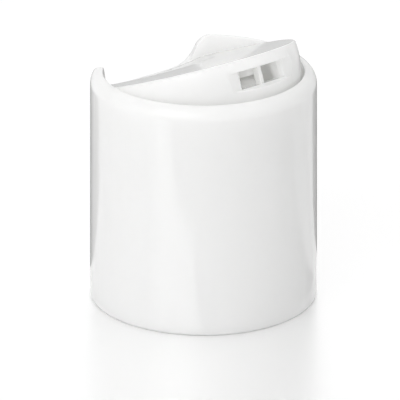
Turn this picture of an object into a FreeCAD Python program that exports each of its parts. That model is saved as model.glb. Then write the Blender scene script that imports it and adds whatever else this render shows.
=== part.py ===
import FreeCAD, Part
import os
from math import asin, atan2, cos, hypot, pi, radians, sin, sqrt, tan
from FreeCAD import Matrix, Placement, Rotation, Vector

# Disc top closure for a screw-neck bottle, shown with its disc tipped open.
# Millimetres. The open skirt stands on Z = 0 with its axis on Z. The spout looks along -Y,
# the thumb notch is at the back, and the disc tips about a line along X.

# Outer shell of the closure body
skirt_wall = 2.0
skirt_draft = 0.25
foot_chamfer = 0.25
rim_wall = 1.55
rim_round = 1.85
rim_inner_chamfer = 0.15

# Deck that separates the bottle side from the disc chamber
neck_depth = 19.0
deck_thickness = 1.4
chamber_depth = 9.3
chamber_corner_chamfer = 0.8

# Thumb notch cut through the back of the rim, its outline given where the flanks leave the wall
notch_depth = 5.45
notch_flank_half_width = 8.25
notch_flank_angle = 58.5
notch_floor_round = 4.8
notch_brow_round = 4.2
notch_floor_radius = 22.0
notch_flank_share = 0.8

# Disc
disc_gap = 0.35
disc_recess = 0.15
disc_edge_chamfer = 0.2
disc_plate = 1.2
disc_wall = 1.0
hollow_foot_wall = 1.15
skirt_to_deck = 1.0
open_angle = 21.3
stop_gap = 0.3

# Pivot: two stub trunnions that snap into round sockets in the chamber wall
pivot_setback = 2.3
pivot_depth = 1.55
trunnion_radius = 0.9
trunnion_running_gap = 0.05
trunnion_reach = 0.55
trunnion_end_gap = 0.12
trunnion_lead_in = 0.25

# Dished thumb pad in the back of the disc
pad_radius = 8.0
pad_dish = 1.0
pad_offset = 9.0

# Spout window in the front wall, in a flat land, with one rib
window_width = 6.1
window_height = 2.65
window_below_top = 1.4
window_flare = 0.45
land_depth = 0.95
sill_rise = 0.4
rib_width = 0.5
rib_depth = 1.0
rib_setback = 0.1

# Flow channel inside the disc
mouth_length = 1.7
channel_width = 8.6
channel_floor_drop = 0.15
channel_wall = 0.9
guide_dome_radius = 2.1
guide_dome_height = 1.5
guide_offset = 7.9
guide_stub_radius = 1.7
guide_stub_length = 1.2

# Ball valve round the pivot line: the disc's ball wipes the seat on the deck
ball_to_deck = 1.5
ball_wall = 1.0
ball_post_radius = 5.2
ball_hollow_taper = 0.65
seat_gap = 0.1
spud_radius = 3.6
port_length = 4.6
port_width = 1.9

# Bottle thread inside the skirt, 1.5 turns at 8 per inch
thread_root_radius = 12.25
thread_height = 0.85
thread_pitch = 3.175
thread_turns = 1.5
thread_start = 8.9
thread_crest = 0.8
thread_flank_angle = 30.0
thread_fade_angle = 24.0
thread_step_angle = 12.0
lead_in_relief = 0.2
lead_in_depth = 6.2
mouth_chamfer = 0.3

# Plug seal that enters the bottle's neck
seal_outer_radius = 8.9
seal_wall = 0.85
seal_length = 2.6
seal_taper = 0.3

# Small overrun that lets one cut pass clear through another face
overrun = 1.0

# Derived places
foot_radius = thread_root_radius + skirt_wall
crown_radius = foot_radius - skirt_draft
chamber_radius = crown_radius - rim_wall
lead_in_radius = thread_root_radius + lead_in_relief
deck_top = neck_depth + deck_thickness
body_height = deck_top + chamber_depth
disc_top = body_height - disc_recess
disc_radius = chamber_radius - disc_gap
pivot_z = disc_top - pivot_depth
pivot = Vector(0, pivot_setback, pivot_z)
wall_sphere_radius = hypot(disc_radius, pivot_depth)
skirt_bottom = deck_top + skirt_to_deck
plate_bottom = disc_top - disc_plate
ball_radius = pivot_z - deck_top - ball_to_deck
window_top = disc_top - window_below_top
window_bottom = window_top - window_height
sill_top = window_bottom + sill_rise
channel_floor = window_bottom - channel_floor_drop
land_y = -(disc_radius - land_depth)


def line(a, b):
    return Part.LineSegment(a, b).toShape()


def arc(a, middle, b):
    return Part.Arc(a, middle, b).toShape()


def ring_point(r, z):
    """Point of a turned profile: r out from the axis, z up."""
    return Vector(r, 0, z)


def turned(edges):
    """Solid of revolution about Z from a closed profile drawn in the XZ plane."""
    return Part.Face(Part.Wire(edges)).revolve(Vector(0, 0, 0), Vector(0, 0, 1), 360)


def block(x0, x1, y0, y1, z0, z1):
    return Part.makeBox(x1 - x0, y1 - y0, z1 - z0, Vector(x0, y0, z0))


def about_pivot(shape, angle):
    """Copy of a shape turned about the pivot line. A negative angle lifts the front."""
    turn = Placement(Vector(0, 0, 0), Rotation(Vector(1, 0, 0), angle), pivot)
    moved = shape.copy()
    moved.Placement = turn.multiply(moved.Placement)
    return moved


def on_circle(centre, radius, angle):
    """Point of a profile circle, the angle in radians from the outward direction."""
    return centre + Vector(radius * cos(angle), 0, radius * sin(angle))


def rim_edges():
    """Rounded rim: a large outer arc up to the top, and a small chamfer into the chamber."""
    centre_x = crown_radius - rim_round
    top = ring_point(chamber_radius + rim_inner_chamfer, body_height)
    centre = ring_point(centre_x, body_height - sqrt(rim_round**2 - (top.x - centre_x) ** 2))
    top_angle = atan2(top.z - centre.z, top.x - centre.x)
    start = on_circle(centre, rim_round, 0)
    end = ring_point(chamber_radius, body_height - rim_inner_chamfer)
    outer = arc(start, on_circle(centre, rim_round, top_angle / 2), top)
    return start, [outer, line(top, end)], end


def body_shell():
    """Skirt, rim, chamber, deck and plug seal as one turned solid."""
    rim_start, rim, rim_end = rim_edges()
    corner = chamber_corner_chamfer
    seal_inner = seal_outer_radius - seal_wall
    seal_tip = neck_depth - seal_length
    points = [
        ring_point(0, deck_top),
        ring_point(0, neck_depth),
        ring_point(seal_inner, neck_depth),
        ring_point(seal_inner, seal_tip),
        ring_point(seal_outer_radius - seal_taper, seal_tip),
        ring_point(seal_outer_radius, neck_depth - seal_length / 2),
        ring_point(seal_outer_radius, neck_depth),
        ring_point(thread_root_radius, neck_depth),
        ring_point(thread_root_radius, lead_in_depth + lead_in_relief),
        ring_point(lead_in_radius, lead_in_depth),
        ring_point(lead_in_radius, mouth_chamfer),
        ring_point(lead_in_radius + mouth_chamfer, 0),
        ring_point(foot_radius - foot_chamfer, 0),
        ring_point(foot_radius, foot_chamfer),
        rim_start,
    ]
    inside = [
        rim_end,
        ring_point(chamber_radius, deck_top + corner),
        ring_point(chamber_radius - corner, deck_top),
        ring_point(0, deck_top),
    ]
    edges = [line(a, b) for a, b in zip(points, points[1:])]
    edges += rim
    edges += [line(a, b) for a, b in zip(inside, inside[1:])]
    return turned(edges)


def spud():
    """Seat post on the deck, its top hollowed to the ball's sphere."""
    top = pivot_z - sqrt((ball_radius + seat_gap) ** 2 - spud_radius**2)
    post = Part.makeCylinder(
        spud_radius, top - deck_top + overrun, Vector(0, pivot_setback, deck_top - overrun)
    )
    return post.cut(Part.makeSphere(ball_radius + seat_gap, pivot))


def port(z0, z1):
    """Round-ended flow slot along X, centred under the pivot line."""
    half = (port_length - port_width) / 2
    slot = block(-half, half, pivot_setback - port_width / 2, pivot_setback + port_width / 2, z0, z1)
    for x in (-half, half):
        end = Part.makeCylinder(port_width / 2, z1 - z0, Vector(x, pivot_setback, z0))
        slot = slot.fuse(end)
    return slot.removeSplitter()


def notch_outline():
    """Half outline of the thumb notch in the XZ plane, from its lowest point to above the rim.

    A wide floor arc runs into a concave round, a straight flank and a convex brow, all tangent.
    """
    floor_z = body_height - notch_depth
    slope = radians(notch_flank_angle)
    along = Vector(cos(slope), 0, sin(slope))
    inward = Vector(-sin(slope), 0, cos(slope))
    flank_point = Vector(notch_flank_half_width, 0, floor_z + notch_depth * 0.6)
    floor_centre = Vector(0, 0, floor_z + notch_floor_radius)
    # Centre of the concave round: its radius off the flank, and tangent inside the floor arc
    reach = notch_floor_radius - notch_floor_round
    offset = flank_point + inward * notch_floor_round - floor_centre
    b = offset.dot(along)
    c = offset.dot(offset) - reach**2
    round_centre = floor_centre + offset + along * (-b - sqrt(b * b - c))
    to_round = round_centre - floor_centre
    to_round.normalize()
    floor_end = floor_centre + to_round * notch_floor_radius
    flank_start = round_centre - inward * notch_floor_round
    round_low = round_centre + unit(to_round - inward) * notch_floor_round
    # The brow's circle stands just above the rim, so that the cut leaves no feather edge
    brow_z = body_height - notch_brow_round + 0.03
    slide = (brow_z - (flank_point + inward * -notch_brow_round).z) / along.z
    brow_centre = flank_point + inward * -notch_brow_round + along * slide
    brow_start = brow_centre + inward * notch_brow_round
    brow_end = brow_centre + Vector(0, 0, notch_brow_round)
    brow_middle = brow_centre + unit(inward + Vector(0, 0, 1)) * notch_brow_round
    bottom = Vector(0, 0, floor_z)
    floor_middle = floor_centre + unit(unit(bottom - floor_centre) + to_round) * notch_floor_radius
    return [
        arc(bottom, floor_middle, floor_end),
        arc(floor_end, round_low, flank_start),
        line(flank_start, brow_start),
        arc(brow_start, brow_middle, brow_end),
    ], brow_end


def unit(v):
    return Vector(v).normalize()


def notch_wire():
    """Closed outline of the notch in the XZ plane, run up and out over the rim."""
    half, brow_end = notch_outline()
    mirror = Matrix(-1, 0, 0, 0, 0, 1, 0, 0, 0, 0, 1, 0, 0, 0, 0, 1)
    other = [edge.transformGeometry(mirror) for edge in half]
    high = body_height + overrun
    right_out = Vector(foot_radius + overrun, 0, brow_end.z)
    right_top = Vector(right_out.x, 0, high)
    left_top = Vector(-right_out.x, 0, high)
    left_out = Vector(-right_out.x, 0, brow_end.z)
    left_brow = Vector(-brow_end.x, 0, brow_end.z)
    frame = [
        line(brow_end, right_out),
        line(right_out, right_top),
        line(right_top, left_top),
        line(left_top, left_out),
        line(left_out, left_brow),
    ]
    return Part.Wire(Part.__sortEdges__(half + other + frame))


def thumb_notch():
    """Cutter whose sides run out from the closure's axis, so the wall's ends are square to the wall."""
    flank_y = crown_radius * notch_flank_share
    sections = []
    for y in (flank_y / 2, foot_radius + overrun):
        wider = y / flank_y
        spread = Matrix(wider, 0, 0, 0, 0, 1, 0, y, 0, 0, 1, 0, 0, 0, 0, 1)
        sections.append(notch_wire().transformGeometry(spread))
    return Part.makeLoft(sections, True, True)


def pivot_sockets():
    """Blind round sockets in the chamber wall for the trunnions."""
    wall_x = sqrt(chamber_radius**2 - pivot_setback**2)
    depth = trunnion_reach + trunnion_end_gap
    radius = trunnion_radius + trunnion_running_gap
    sockets = []
    for side in (-1, 1):
        mouth = Vector(side * (wall_x - overrun), pivot.y, pivot.z)
        sockets.append(Part.makeCylinder(radius, depth + overrun, mouth, Vector(side, 0, 0)))
    return sockets[0].fuse(sockets[1])


def thread_section(turn_angle, end_angle):
    """Trapezoid of the ridge in the radial plane at one angle, lower towards each end."""
    fade = min(turn_angle, end_angle - turn_angle) / thread_fade_angle
    rise = min(1.0, max(0.0, fade))
    depth = thread_height * (0.04 + 0.96 * rise * rise * (3 - 2 * rise))
    scale = depth / thread_height
    crest = thread_crest / 2 * (0.4 + 0.6 * scale)
    spread = tan(radians(thread_flank_angle))
    sunk = 0.25
    base = crest + (depth + sunk) * spread
    z = thread_start + thread_pitch * turn_angle / 360
    out = Vector(cos(radians(turn_angle)), sin(radians(turn_angle)), 0)
    corners = [
        out * (thread_root_radius + sunk) + Vector(0, 0, z - base),
        out * (thread_root_radius - depth) + Vector(0, 0, z - crest),
        out * (thread_root_radius - depth) + Vector(0, 0, z + crest),
        out * (thread_root_radius + sunk) + Vector(0, 0, z + base),
    ]
    return Part.makePolygon(corners + corners[:1])


def thread_ridge():
    """Helical ridge of the bottle thread, lofted through sections along its turns."""
    end_angle = 360 * thread_turns
    count = round(end_angle / thread_step_angle)
    angles = [end_angle * i / count for i in range(count + 1)]
    return Part.makeLoft([thread_section(a, end_angle) for a in angles], True, False)


def closure_body():
    body = body_shell().fuse(spud())
    body = body.cut(port(neck_depth - overrun, pivot_z))
    body = body.cut(pivot_sockets())
    body = body.cut(thumb_notch())
    return body.fuse(thread_ridge()).removeSplitter()


def disc_blank():
    """Solid of the disc's outside: flat top, edge chamfer and a wall that is a zone of a sphere.

    The sphere's centre is on the closure's axis, level with the pivot, so the disc can tip.
    """
    centre = ring_point(0, pivot_z)
    high_angle = asin((disc_top - disc_edge_chamfer - centre.z) / wall_sphere_radius)
    low_angle = asin((skirt_bottom - centre.z) / wall_sphere_radius)
    high = on_circle(centre, wall_sphere_radius, high_angle)
    low = on_circle(centre, wall_sphere_radius, low_angle)
    top = ring_point(high.x - disc_edge_chamfer, disc_top)
    return turned([
        line(ring_point(0, disc_top), top),
        line(top, high),
        arc(high, on_circle(centre, wall_sphere_radius, (high_angle + low_angle) / 2), low),
        line(low, ring_point(0, skirt_bottom)),
        line(ring_point(0, skirt_bottom), ring_point(0, disc_top)),
    ])


def cone(centre_y, low_radius, low_z, high_radius, high_z):
    return Part.makeCone(low_radius, high_radius, high_z - low_z, Vector(0, centre_y, low_z))


def disc_hollow():
    """Space inside the disc's wall and under its plate, with straight sides that keep the wall even."""
    foot = sqrt(wall_sphere_radius**2 - (pivot_z - skirt_bottom) ** 2) - hollow_foot_wall
    head = disc_radius - disc_wall
    below = foot - (head - foot) * overrun / (plate_bottom - skirt_bottom)
    return cone(0, below, skirt_bottom - overrun, head, plate_bottom)


def pad_sphere():
    """Sphere that dishes the thumb pad."""
    radius = (pad_radius**2 + pad_dish**2) / (2 * pad_dish)
    return Part.makeSphere(radius, Vector(0, pad_offset, disc_top - pad_dish + radius))


def pad_backing():
    """Material kept under the dish, so that the plate isn't thin there."""
    low_z = plate_bottom - pad_dish
    return cone(pad_offset, pad_radius / 2, low_z, pad_radius + pad_dish, plate_bottom)


def channel_block(half_width, y0, y1, z0):
    return block(-half_width, half_width, y0, y1, z0, plate_bottom)


def channel_outside():
    """Outer form of the channel, and of the round post behind it with the ball as its foot."""
    half = channel_width / 2 + channel_wall
    duct = channel_block(half, -disc_radius, pivot_setback, channel_floor - channel_wall)
    post = Part.makeCylinder(ball_post_radius, plate_bottom - skirt_bottom,
                             Vector(0, pivot_setback, skirt_bottom))
    foot = post.cut(block(-ball_radius, ball_radius, pivot.y - ball_radius, pivot.y + ball_radius,
                          pivot_z, plate_bottom))
    ball = foot.common(Part.makeSphere(ball_radius, pivot))
    head = post.cut(block(-ball_radius, ball_radius, pivot.y - ball_radius, pivot.y + ball_radius,
                          skirt_bottom, pivot_z))
    return duct.fuse(ball).fuse(head).removeSplitter()


def channel_inside():
    """Flow space: the mouth behind the window, the wide channel, and the hollow of the ball's post."""
    mouth_end = land_y + mouth_length
    head = ball_post_radius - ball_wall
    foot = head * ball_hollow_taper
    foot_z = pivot_z - sqrt((ball_radius - ball_wall) ** 2 - foot**2)
    half = window_width / 2
    mouth = block(-half, half, -disc_radius - overrun, mouth_end, sill_top, window_top)
    flare = window_flare_cut(half)
    duct = channel_block(channel_width / 2, mouth_end, pivot_setback - foot, channel_floor)
    hollow = cone(pivot_setback, foot, foot_z, head, plate_bottom)
    return mouth.fuse(flare).fuse(duct).fuse(hollow)


def window_flare_cut(half):
    """Wedges that open the window's two sides towards the flat land."""
    inner_y = land_y + window_flare
    outer = half + window_flare
    corners = [Vector(-outer, land_y, sill_top), Vector(-half, inner_y, sill_top),
               Vector(half, inner_y, sill_top), Vector(outer, land_y, sill_top)]
    return Part.Face(Part.makePolygon(corners + corners[:1])).extrude(Vector(0, 0, window_top - sill_top))


def spout_land():
    """Flat recess in the front wall, as high as the window, its sill sloped down to the outside."""
    front = -disc_radius - overrun
    fall = sill_rise * overrun / land_depth
    corners = [Vector(-disc_radius, front, window_bottom - fall), Vector(-disc_radius, land_y, sill_top),
               Vector(-disc_radius, land_y, window_top), Vector(-disc_radius, front, window_top)]
    return Part.Face(Part.makePolygon(corners + corners[:1])).extrude(Vector(2 * disc_radius, 0, 0))


def spout_rib():
    """Upright web in the middle of the window."""
    front = land_y + rib_setback
    sunk = channel_wall / 3
    half = rib_width / 2
    return block(-half, half, front, front + rib_depth, channel_floor - sunk, window_top + sunk)


def flow_guides():
    """Domed boss on the channel floor, and the short stub above it under the plate."""
    radius = guide_dome_radius
    centre_z = channel_floor + guide_dome_height - radius
    dome = Part.makeSphere(radius, Vector(0, -guide_offset, centre_z))
    below = block(-radius, radius, -guide_offset - radius, -guide_offset + radius,
                  centre_z - radius - overrun, channel_floor - channel_wall / 2)
    stub = Part.makeCylinder(guide_stub_radius, guide_stub_length + 0.2,
                             Vector(0, -guide_offset, plate_bottom - guide_stub_length))
    return dome.cut(below).fuse(stub)


def rear_relief():
    """Everything that would press on the deck when the disc is tipped right back."""
    size = 4 * disc_radius
    slab = block(-size, size, -size, size, deck_top + stop_gap - size, deck_top + stop_gap)
    return about_pivot(slab, open_angle)


def trunnions():
    """Two stubs with a chamfered lead-in, fused to the disc's wall."""
    wall_x = sqrt(chamber_radius**2 - pivot_setback**2)
    tip = wall_x + trunnion_reach
    root = sqrt((disc_radius - disc_wall / 2) ** 2 - pivot_setback**2)
    straight = tip - trunnion_lead_in - root
    pins = []
    for side in (-1, 1):
        way = Vector(side, 0, 0)
        start = Vector(side * root, pivot.y, pivot.z)
        pin = Part.makeCylinder(trunnion_radius, straight, start, way)
        nose_start = start + way * straight
        tip_radius = trunnion_radius - trunnion_lead_in
        nose = Part.makeCone(trunnion_radius, tip_radius, trunnion_lead_in, nose_start, way)
        pins.append(pin.fuse(nose))
    return pins[0].fuse(pins[1])


def dispensing_disc():
    backing = pad_backing()
    kept = channel_outside().fuse(backing)
    disc = disc_blank().cut(disc_hollow().cut(kept))
    disc = disc.cut(channel_inside().cut(backing))
    disc = disc.cut(spout_land())
    disc = disc.cut(about_pivot(port(deck_top, pivot_z - ball_radius / 2), open_angle))
    disc = disc.cut(rear_relief())
    disc = disc.cut(pad_sphere())
    disc = disc.fuse(spout_rib()).fuse(flow_guides()).fuse(trunnions())
    return about_pivot(disc.removeSplitter(), -open_angle)


def main():
    os.makedirs("parts", exist_ok=True)
    nodes = {"closure_body": closure_body(), "dispensing_disc": dispensing_disc()}
    for name, shape in nodes.items():
        shape.exportStep("parts/" + name + ".step")
        box = shape.BoundBox
        print(name, "solids", len(shape.Solids), "valid", shape.isValid(), "volume", round(shape.Volume, 1),
              "z", round(box.ZMin, 3), round(box.ZMax, 3), "x", round(box.XMin, 3), round(box.XMax, 3),
              "y", round(box.YMin, 3), round(box.YMax, 3))


main()
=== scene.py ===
# %% [markdown]
# A disc top closure is the screw cap of a lotion or shampoo bottle. It is two white mouldings:
# a smooth body that screws on the neck, and a disc that tips in the body's open top. Pressing
# the thumb notch side of the disc lifts its front, and the spout window rises over the rim.
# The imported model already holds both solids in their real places, so it is loaded first and
# everything else is built round it, in metres.

# %% Load the two mouldings
from math import cos, hypot, radians, sin

import bmesh
import bpy
import numpy as np
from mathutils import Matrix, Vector


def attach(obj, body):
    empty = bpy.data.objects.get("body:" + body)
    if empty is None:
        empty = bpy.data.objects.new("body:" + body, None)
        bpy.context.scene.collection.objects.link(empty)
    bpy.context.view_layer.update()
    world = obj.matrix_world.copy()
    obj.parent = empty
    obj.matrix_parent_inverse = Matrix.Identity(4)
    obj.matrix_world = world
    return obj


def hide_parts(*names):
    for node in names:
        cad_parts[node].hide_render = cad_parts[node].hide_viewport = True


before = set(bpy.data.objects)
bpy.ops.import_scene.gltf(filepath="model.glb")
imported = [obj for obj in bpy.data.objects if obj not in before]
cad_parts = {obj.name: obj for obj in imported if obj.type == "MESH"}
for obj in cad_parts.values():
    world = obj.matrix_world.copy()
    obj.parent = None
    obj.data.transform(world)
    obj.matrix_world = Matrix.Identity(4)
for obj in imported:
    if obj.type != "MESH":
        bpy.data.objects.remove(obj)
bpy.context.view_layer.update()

# %% [markdown]
# A small product is usually photographed from far away with a long lens, which keeps its sides
# nearly parallel. The camera here stands 0.6 m off, turned 41.5 degrees from the spout's side
# and 22 degrees up. The lens follows from the width that the picture shows at the closure.

# %% Set the camera
turn_round = radians(-41.5)
look_down = radians(21.82)
camera_distance = 0.6
picture_width_at_object = 0.04983
sensor_width = 36.0
middle_of_closure = Vector((0, 0, 0.014))
aim_right = -0.00044
aim_up = -0.00158

towards_camera = Vector((
    sin(turn_round) * cos(look_down),
    -cos(turn_round) * cos(look_down),
    sin(look_down),
))
camera_right = Vector((cos(turn_round), sin(turn_round), 0))
camera_up = towards_camera.cross(camera_right)
camera_place = middle_of_closure + camera_distance * towards_camera
aim_point = middle_of_closure + aim_right * camera_right + aim_up * camera_up

camera_data = bpy.data.cameras.new("product_camera")
camera_data.sensor_width = sensor_width
camera_data.lens = sensor_width * camera_distance / picture_width_at_object
camera_data.clip_start = 0.05
camera_data.clip_end = 20
camera = bpy.data.objects.new("product_camera", camera_data)
bpy.context.scene.collection.objects.link(camera)
camera.location = camera_place
camera.rotation_euler = (aim_point - camera_place).to_track_quat("-Z", "Y").to_euler()
bpy.context.scene.camera = camera
bpy.context.scene.view_settings.view_transform = "Standard"
print("lens", round(camera_data.lens, 1), "mm")

# %% [markdown]
# Materials are small trees of nodes. Two helpers keep each tree short to write: one starts an
# empty material, the other adds a node with its fixed values.

# %% Helpers for materials
def new_material(name):
    """An empty node material and its tree, with only the output node in it."""
    made = bpy.data.materials.new(name)
    made.use_nodes = True
    tree = made.node_tree
    tree.nodes.clear()
    return made, tree, tree.nodes.new("ShaderNodeOutputMaterial")


def node(tree, kind, **sockets):
    """One node, with its named inputs set to fixed values."""
    made = tree.nodes.new(kind)
    for name, value in sockets.items():
        made.inputs[name.replace("_", " ")].default_value = value
    return made


# %% [markdown]
# The closure stands on a glossy white studio sweep. A flat sheet is enough, as it runs far out
# of view. A fifth of its look is soft white and the rest is a much blurred mirror, so that the
# shade of the wall runs out softly in front of the foot. A little light is added for the camera
# and for reflections only, so that the sheet reads as white without lighting the closure.

# %% Lay the white sweep
sweep_half = 2.5
sweep_mesh = bpy.data.meshes.new("white_sweep")
corners = sweep_half * np.array([[-1, -1, 0], [1, -1, 0], [1, 1, 0], [-1, 1, 0]], float)
sweep_mesh.from_pydata(corners.tolist(), [], [(0, 1, 2, 3)])
sweep = bpy.data.objects.new("white_sweep", sweep_mesh)
bpy.context.scene.collection.objects.link(sweep)

sweep_soft_white = (0.9, 0.9, 0.9, 1)
sweep_mirror_white = (0.97, 0.97, 0.97, 1)
sweep_mirror_share = 0.8
sweep_mirror_blur = 0.28
sweep_lift = 0.07
sweep_white, tree, output = new_material("sweep_white")
paper = node(tree, "ShaderNodeBsdfDiffuse", Color=sweep_soft_white)
gloss = node(tree, "ShaderNodeBsdfGlossy", Color=sweep_mirror_white, Roughness=sweep_mirror_blur)
glaze = node(tree, "ShaderNodeMixShader", Fac=sweep_mirror_share)
lift = node(tree, "ShaderNodeEmission", Color=(1, 1, 1, 1), Strength=0.0)
rays = node(tree, "ShaderNodeLightPath")
seen = node(tree, "ShaderNodeMath")
seen.operation = "ADD"
amount = node(tree, "ShaderNodeMath")
amount.operation = "MULTIPLY"
amount.inputs[1].default_value = sweep_lift
whole = node(tree, "ShaderNodeAddShader")
tree.links.new(paper.outputs[0], glaze.inputs[1])
tree.links.new(gloss.outputs[0], glaze.inputs[2])
tree.links.new(rays.outputs["Is Camera Ray"], seen.inputs[0])
tree.links.new(rays.outputs["Is Glossy Ray"], seen.inputs[1])
tree.links.new(seen.outputs[0], amount.inputs[0])
tree.links.new(amount.outputs[0], lift.inputs["Strength"])
tree.links.new(glaze.outputs[0], whole.inputs[0])
tree.links.new(lift.outputs[0], whole.inputs[1])
tree.links.new(whole.outputs[0], output.inputs["Surface"])
sweep_mesh.materials.append(sweep_white)
print("sweep", 2 * sweep_half, "m square, mirror share", sweep_mirror_share)

# %% [markdown]
# Soft studio light: one large sheet of light from the left of the camera, a smaller and weaker
# one above, and an even white room for the rest. The camera and reflections see the room as
# plain white, and it lights the closure a little less than that, so that white plastic doesn't
# burn out.

# %% Set the lights
def light_sheet(name, place, size, power):
    """A square area light that faces the closure."""
    data = bpy.data.lights.new(name, "AREA")
    data.shape = "SQUARE"
    data.size = size
    data.energy = power
    lamp = bpy.data.objects.new(name, data)
    bpy.context.scene.collection.objects.link(lamp)
    lamp.location = place
    lamp.rotation_euler = (middle_of_closure - place).to_track_quat("-Z", "Y").to_euler()
    return lamp


def round_the_closure(turn, out, up):
    """Point at a compass angle from the spout's side, a distance out and a height up."""
    return Vector((sin(turn) * out, -cos(turn) * out, up))


soft_level = 0.74
seen_level = 1.0
key_power = 5.3
key_size = 0.9
key_place = round_the_closure(turn_round - radians(28), 0.95, 0.75)
top_power = 0.4
top_size = 0.6
top_place = round_the_closure(turn_round, -0.1, 1.0)

room = bpy.data.worlds.new("white_room")
bpy.context.scene.world = room
room.use_nodes = True
room_light = room.node_tree.nodes["Background"]
room_light.inputs["Color"].default_value = (1, 1, 1, 1)
room_tree = room.node_tree
room_rays = node(room_tree, "ShaderNodeLightPath")
room_seen = node(room_tree, "ShaderNodeMath")
room_seen.operation = "ADD"
room_level = node(room_tree, "ShaderNodeMapRange", To_Min=soft_level, To_Max=seen_level)
room_tree.links.new(room_rays.outputs["Is Camera Ray"], room_seen.inputs[0])
room_tree.links.new(room_rays.outputs["Is Glossy Ray"], room_seen.inputs[1])
room_tree.links.new(room_seen.outputs[0], room_level.inputs["Value"])
room_tree.links.new(room_level.outputs[0], room_light.inputs["Strength"])

light_sheet("key_sheet", key_place, key_size, key_power)
light_sheet("top_sheet", top_place, top_size, top_power)
print("key", key_power, "W, top", top_power, "W, room", soft_level)

# %% [markdown]
# Glossy white plastic on a white sweep would lose its outline. A photographer lays grey cards on
# the table, just out of view, and the plastic mirrors them at its edges: upright walls that the
# camera looks down on mirror only the table. Cards at the sides give the thin dark edges, one
# further back greys the lifted front of the disc, and one in front draws the soft upright step in
# the body's shine. Only reflections from above see them.

# %% Lay the grey cards
card_height = 0.0006
edge_grey = 0.1
back_grey = 0.6
front_grey = 0.4

left_outline = [(0, 16), (-16, 6), (-45, 22), (-80, 60), (-60, 95), (0, 95)]
right_outline = [(0, 16), (15, 10), (31.5, 23.5), (43, 41), (70, 80), (60, 95), (0, 95)]
back_outline = [(-60, 95.5), (60, 95.5), (150, 300), (-150, 300)]
front_outline = [
    (0, -15.5), (-7, -46), (-32, -60), (-90, -120), (60, -300),
    (200, -200), (200, 0), (40, 5), (18, 3), (13, -9),
]


def table_card(name, outline_mm, grey):
    """Flat card just above the sweep, its outline in mm to the camera's right and away from it."""
    right = np.array([cos(turn_round), sin(turn_round), 0])
    away = np.array([-sin(turn_round), cos(turn_round), 0])
    outline = np.array(outline_mm, float) / 1000
    corners = outline[:, :1] * right + outline[:, 1:] * away + (0, 0, card_height)
    mesh = bpy.data.meshes.new(name)
    mesh.from_pydata(corners.tolist(), [], [tuple(range(len(corners)))])
    mesh.update()
    if mesh.polygons[0].normal.z < 0:
        mesh.flip_normals()
    paint, tree, output = new_material(name + "_paint")
    flat = node(tree, "ShaderNodeEmission", Color=(grey, grey, grey, 1), Strength=1.0)
    clear = node(tree, "ShaderNodeBsdfTransparent")
    side = node(tree, "ShaderNodeNewGeometry")
    pick = node(tree, "ShaderNodeMixShader")
    tree.links.new(side.outputs["Backfacing"], pick.inputs["Fac"])
    tree.links.new(flat.outputs[0], pick.inputs[1])
    tree.links.new(clear.outputs[0], pick.inputs[2])
    tree.links.new(pick.outputs[0], output.inputs["Surface"])
    mesh.materials.append(paint)
    card = bpy.data.objects.new(name, mesh)
    bpy.context.scene.collection.objects.link(card)
    card.visible_camera = False
    card.visible_diffuse = False
    card.visible_transmission = False
    card.visible_shadow = False
    print(name, len(corners), "corners, grey", grey)
    return card


table_card("left_edge_card", left_outline, edge_grey)
table_card("right_edge_card", right_outline, edge_grey)
table_card("back_card", back_outline, back_grey)
table_card("front_card", front_outline, front_grey)

# %% [markdown]
# Both pieces are glossy white polypropylene. The walls are only one or two millimetres thick, and
# white resin there is milky: part of the light goes through and comes out on the other side, so
# the inside of the window isn't black. The tree mixes a glossy plastic with a translucent one,
# and lets less light through where the surface mirrors more. Light that is already inside a wall
# all goes on through the face that it meets, so a wall counts once. Flow of the resin in the mould
# leaves a faint cloudiness in colour and gloss, and steel polish leaves a very fine grain.

# %% Polypropylene
resin_ior = 1.49
scatter_depth = 0.0008
deep_white = (0.968, 0.968, 0.956, 1)
clear_white = (0.985, 0.985, 0.979, 1)
grain_height = 0.000002


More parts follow.
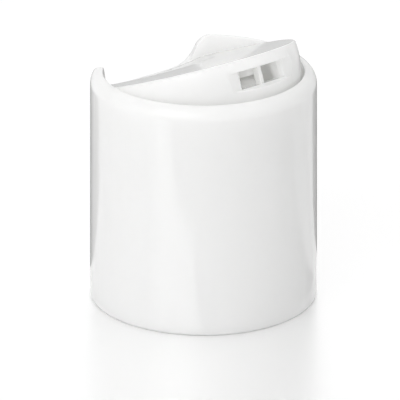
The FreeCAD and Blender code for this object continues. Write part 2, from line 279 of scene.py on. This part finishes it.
def polypropylene(name, milk_share, cloud_size, grain_size):
    """Glossy milky resin: cloud and grain sizes in metres, and the share that shines through."""
    made, tree, output = new_material(name)
    place = node(tree, "ShaderNodeTexCoord")
    clouds = node(tree, "ShaderNodeTexNoise", Scale=1 / cloud_size, Detail=3.0, Roughness=0.5)
    grain = node(tree, "ShaderNodeTexNoise", Scale=1 / grain_size, Detail=1.0, Roughness=0.5)
    tint = node(tree, "ShaderNodeValToRGB")
    tint.color_ramp.elements[0].position = 0.3
    tint.color_ramp.elements[0].color = deep_white
    tint.color_ramp.elements[1].position = 0.7
    tint.color_ramp.elements[1].color = clear_white
    polish = node(tree, "ShaderNodeMapRange", To_Min=0.06, To_Max=0.10)
    skin = node(tree, "ShaderNodeBump", Strength=0.15, Distance=grain_height)
    resin = node(tree, "ShaderNodeBsdfPrincipled", IOR=resin_ior)
    resin.inputs["Subsurface Weight"].default_value = 1.0
    resin.inputs["Subsurface Radius"].default_value = (1, 1, 1)
    resin.inputs["Subsurface Scale"].default_value = scatter_depth
    through = node(tree, "ShaderNodeBsdfTranslucent")
    mirror = node(tree, "ShaderNodeFresnel", IOR=resin_ior)
    share = node(tree, "ShaderNodeMapRange", To_Min=milk_share, To_Max=0.0)
    side = node(tree, "ShaderNodeNewGeometry")
    passed = node(tree, "ShaderNodeMath")
    passed.operation = "MAXIMUM"
    milk = node(tree, "ShaderNodeMixShader")
    tree.links.new(place.outputs["Object"], clouds.inputs["Vector"])
    tree.links.new(place.outputs["Object"], grain.inputs["Vector"])
    tree.links.new(clouds.outputs["Fac"], tint.inputs["Fac"])
    tree.links.new(clouds.outputs["Fac"], polish.inputs["Value"])
    tree.links.new(grain.outputs["Fac"], skin.inputs["Height"])
    tree.links.new(tint.outputs["Color"], resin.inputs["Base Color"])
    tree.links.new(tint.outputs["Color"], through.inputs["Color"])
    tree.links.new(polish.outputs[0], resin.inputs["Roughness"])
    tree.links.new(skin.outputs["Normal"], resin.inputs["Normal"])
    tree.links.new(mirror.outputs[0], share.inputs["Value"])
    tree.links.new(share.outputs[0], passed.inputs[0])
    tree.links.new(side.outputs["Backfacing"], passed.inputs[1])
    tree.links.new(passed.outputs[0], milk.inputs["Fac"])
    tree.links.new(resin.outputs[0], milk.inputs[1])
    tree.links.new(through.outputs[0], milk.inputs[2])
    tree.links.new(milk.outputs[0], output.inputs["Surface"])
    print(name, "lets", milk_share, "through each face")
    return made


body_resin = polypropylene(
    "body_polypropylene", milk_share=0.25, cloud_size=0.006, grain_size=0.0004
)
disc_resin = polypropylene(
    "disc_polypropylene", milk_share=0.3, cloud_size=0.004, grain_size=0.0004
)

# %% [markdown]
# Moulded plastic has no sharp edges. The solids carry plain ones, so each piece is shown by a copy
# of its node with the edges rounded: the node's loose triangles are merged, flat neighbours are
# joined, and a small bevel rounds each edge that turns by more than 28 degrees. Normals that are
# weighted by area then keep the flats flat, so that the disc's top mirrors the notch cleanly.

# %% Copy a node and round its edges
same_point = 2e-7
same_flat = radians(0.4)
sharp_turn = radians(28)
round_steps = 3


def merged_copy(name, node_name):
    """Mesh of a node with its doubles merged and its flat neighbours joined."""
    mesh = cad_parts[node_name].data.copy()
    mesh.name = name
    bm = bmesh.new()
    bm.from_mesh(mesh)
    bmesh.ops.remove_doubles(bm, verts=bm.verts, dist=same_point)
    bmesh.ops.dissolve_limit(bm, angle_limit=same_flat, verts=bm.verts, edges=bm.edges)
    bm.to_mesh(mesh)
    bm.free()
    return mesh


def rounded_piece(name, body, node_name, mesh, resin, round_width):
    """Piece that stands for a node, with its edges rounded to a width in metres."""
    piece = bpy.data.objects.new(name, mesh)
    bpy.context.scene.collection.objects.link(piece)
    mesh.shade_smooth()
    mesh.materials.clear()
    mesh.materials.append(resin)
    bevel = piece.modifiers.new("edge_round", "BEVEL")
    bevel.width = round_width
    bevel.segments = round_steps
    bevel.limit_method = "ANGLE"
    bevel.angle_limit = sharp_turn
    bevel.harden_normals = True
    even = piece.modifiers.new("even_shine", "WEIGHTED_NORMAL")
    even.mode = "FACE_AREA_WITH_ANGLE"
    even.weight = 50
    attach(piece, body)
    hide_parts(node_name)
    print(name, len(mesh.polygons), "faces")
    return piece


# %% [markdown]
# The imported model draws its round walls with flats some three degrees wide, which show as upright
# stripes in the shine, so the flats are cut in four and their new edges put on the true circle.
# A closure of this kind stands on a crisp foot: the wall stays bright right down to a thin dark
# contact line. The solid's foot has a small chamfer, so on the copy the chamfer's lower ring is
# moved out until only half of it is left.

# %% Closure body
outer_walls_from = 0.0120
cuts_per_flat = 3
level_within = 1e-7
on_table = 1e-5
chamfer_radius = 0.0140
crisp_radius = 0.01412
body_edge_round = 0.00015


def rounder_rings(mesh, least_radius, cuts):
    """Cut each edge that lies along a circle round the axis, with the new points on that circle."""
    bm = bmesh.new()
    bm.from_mesh(mesh)
    ring_radius = bm.verts.layers.float.new("ring_radius")
    for vert in bm.verts:
        vert[ring_radius] = hypot(vert.co.x, vert.co.y)
    along = []
    for edge in bm.edges:
        one, other = edge.verts
        level = abs(one.co.z - other.co.z) < level_within
        level_round = abs(one[ring_radius] - other[ring_radius]) < same_point
        if level and level_round and one[ring_radius] > least_radius:
            along.append(edge)
    made = bmesh.ops.subdivide_edges(bm, edges=along, cuts=cuts, use_grid_fill=True)
    for vert in made["geom_inner"]:
        if isinstance(vert, bmesh.types.BMVert):
            vert.co.xy *= vert[ring_radius] / hypot(vert.co.x, vert.co.y)
    bm.verts.layers.float.remove(ring_radius)
    bm.to_mesh(mesh)
    bm.free()
    print("ring edges cut", len(along), "in", cuts + 1)


def crisp_foot(mesh, old_radius, new_radius, reach=0.00005):
    """Move the table points that lie near one radius out to another, each along its own ray."""
    xyz = np.empty(3 * len(mesh.vertices))
    mesh.vertices.foreach_get("co", xyz)
    xyz = xyz.reshape(-1, 3)
    radius = np.hypot(xyz[:, 0], xyz[:, 1])
    ring = (xyz[:, 2] < on_table) & (np.abs(radius - old_radius) < reach)
    xyz[ring, :2] *= (new_radius / radius[ring])[:, None]
    mesh.vertices.foreach_set("co", xyz.ravel())
    mesh.update()
    print("foot points moved", int(ring.sum()))


body_mesh = merged_copy("closure_moulding", "closure_body")
rounder_rings(body_mesh, outer_walls_from, cuts_per_flat)
crisp_foot(body_mesh, chamfer_radius, crisp_radius)
rounded_piece(
    "closure_moulding", "closure", "closure_body",
    body_mesh, body_resin, body_edge_round,
)

# %% [markdown]
# The disc is the piece that moves. It rides on its own body, so the tilt carries it, and its
# edges are a little crisper than the rim's.

# %% Dispensing disc
disc_edge_round = 0.00012
disc_mesh = merged_copy("disc_moulding", "dispensing_disc")
rounded_piece(
    "disc_moulding", "disc", "dispensing_disc",
    disc_mesh, disc_resin, disc_edge_round,
)
